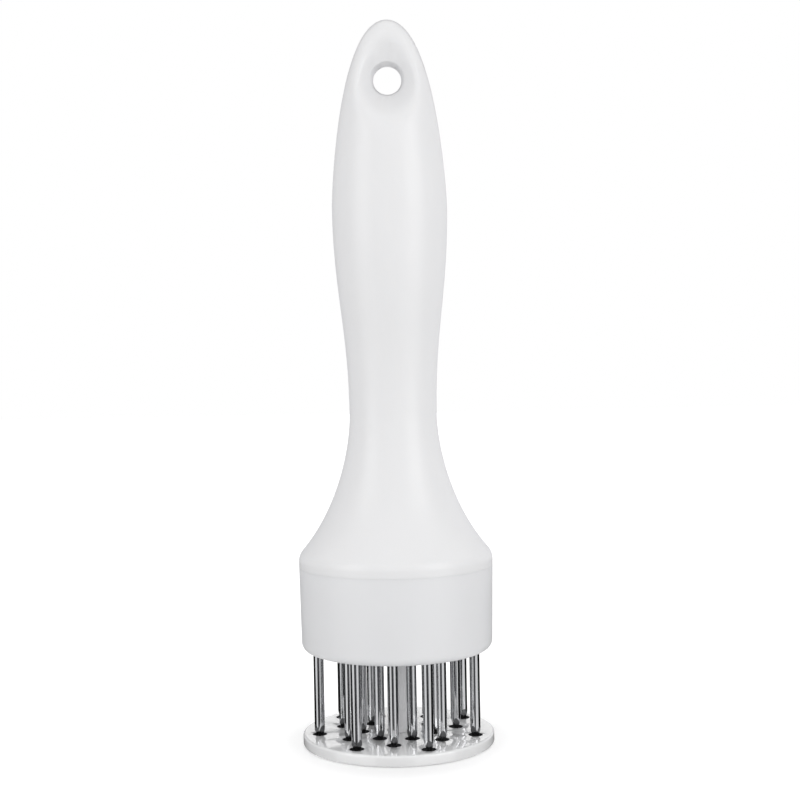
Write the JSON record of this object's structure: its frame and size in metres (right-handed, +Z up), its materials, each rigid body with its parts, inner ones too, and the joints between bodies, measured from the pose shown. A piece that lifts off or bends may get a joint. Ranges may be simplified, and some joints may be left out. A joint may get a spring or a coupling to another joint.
{
  "type": "needle meat tenderizer",
  "caption": "Hand-held meat tenderizer: a waisted round handle with a hanging hole, a cup-shaped head of steel needles and a sprung round guard plate that slides up the needles.",
  "frame": {"origin": "middle of the guard plate's underside, where the tool stands on a table", "axes": "+Z up the handle, along the needles and the guard's slide; Y runs through the hanging hole, and -Y faces the viewer of the picture"},
  "size_m": [0.0524, 0.0524, 0.195],
  "materials": {
    "white_plastic": "white moulded ABS, soft gloss",
    "clear_plastic": "milky clear polycarbonate, polished",
    "grey_plastic": "pale grey moulded nylon, satin",
    "needle_steel": "bright drawn stainless steel, polished",
    "plain_steel": "stamped stainless steel, satin",
    "spring_steel": "stainless spring wire"
  },
  "bodies": {
    "head": {"handle": "white_plastic", "head_cup": "white_plastic", "needle_plate": "plain_steel", "spring_seat_washer": "plain_steel", "spring": "spring_steel", "needle_01": "needle_steel", "needle_02": "needle_steel", "needle_03": "needle_steel", "needle_04": "needle_steel", "needle_05": "needle_steel", "needle_06": "needle_steel", "needle_07": "needle_steel", "needle_08": "needle_steel", "needle_09": "needle_steel", "needle_10": "needle_steel", "needle_11": "needle_steel", "needle_12": "needle_steel", "needle_13": "needle_steel", "needle_14": "needle_steel", "needle_15": "needle_steel", "needle_16": "needle_steel", "needle_17": "needle_steel", "needle_18": "needle_steel", "needle_19": "needle_steel", "needle_20": "needle_steel", "needle_21": "needle_steel"},
    "guard": {"guard_disc": "clear_plastic", "guard_post": "grey_plastic", "guard_screw": "plain_steel", "stop_washer": "plain_steel", "stop_screw": "plain_steel"}
  },
  "joints": [
    {"name": "guard_slide", "type": "slide", "parent": "head", "child": "guard", "axis": [0, 0, 1], "range_m": [0, 0.0223], "stiffness_N_per_m": 750, "springref_m": -0.014, "deforming": ["spring"]}
  ]
}
